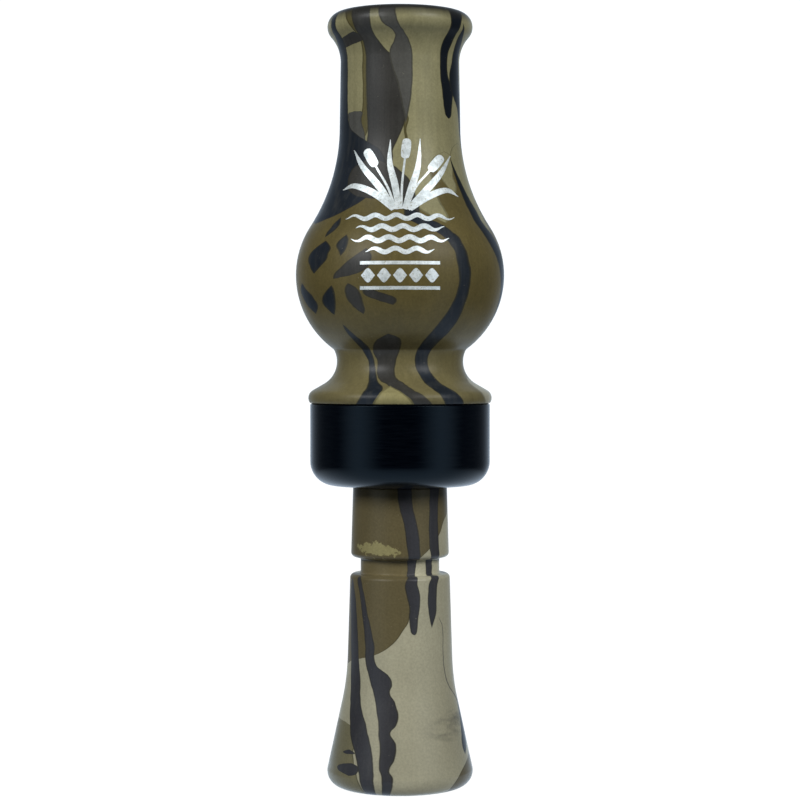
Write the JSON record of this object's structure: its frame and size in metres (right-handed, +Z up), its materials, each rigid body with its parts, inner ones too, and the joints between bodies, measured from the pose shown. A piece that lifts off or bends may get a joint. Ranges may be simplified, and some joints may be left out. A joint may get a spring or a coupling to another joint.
{
  "type": "duck call",
  "caption": "Duck call with a bulb barrel, black band and flared insert; breath through the lip vibrates reeds on a tone board and the sound leaves the bell.",
  "frame": {"origin": "on the axis, in the plane of the bell's rim, which the call stands on", "axes": "+Z runs up the axis from the bell to the mouthpiece; -Y is the printed side, which the reeds face; X is across"},
  "size_m": [0.038, 0.038, 0.1413],
  "materials": {
    "olive_camo_plastic": "camouflage film under a satin clear coat",
    "khaki_camo_plastic": "camouflage film under a satin clear coat",
    "black_plastic": "polished black",
    "dark_plastic": "satin moulded",
    "black_rubber": "smooth moulded rubber",
    "reed_film": "frosted polyester film",
    "cork": "cut cork"
  },
  "bodies": {
    "insert": {"insert": "khaki_camo_plastic", "tone_board": "dark_plastic", "wedge_block": "cork"},
    "o_rings": {"lower_o_ring": "black_rubber", "upper_o_ring": "black_rubber"},
    "barrel": {"barrel": "olive_camo_plastic", "band": "black_plastic"},
    "lower_reed": {"lower_reed": "reed_film"},
    "upper_reed": {"upper_reed": "reed_film"}
  },
  "joints": [
    {"name": "barrel_turn", "type": "hinge", "parent": "insert", "child": "o_rings", "pos_m": [0, 0, 0.0642], "axis": [0, 0, 1], "continuous": true},
    {"name": "barrel_pull", "type": "slide", "parent": "o_rings", "child": "barrel", "axis": [0, 0, 1], "range_m": [0, 0.08]},
    {"name": "lower_reed_flex", "type": "hinge", "parent": "insert", "child": "lower_reed", "pos_m": [0, 0.0004, 0.08235], "axis": [-1, 0, 0], "range_deg": [-0.5, 1.9], "stiffness_Nm_per_rad": 0.015, "deforming": ["lower_reed"]},
    {"name": "upper_reed_flex", "type": "hinge", "parent": "insert", "child": "upper_reed", "pos_m": [0, 0.0001, 0.08235], "axis": [-1, 0, 0], "range_deg": [-0.5, 1.9], "stiffness_Nm_per_rad": 0.008, "deforming": ["upper_reed"]}
  ],
  "couplings": [
    {"joint": "upper_reed_flex", "follows": "lower_reed_flex", "ratio": 1}
  ]
}
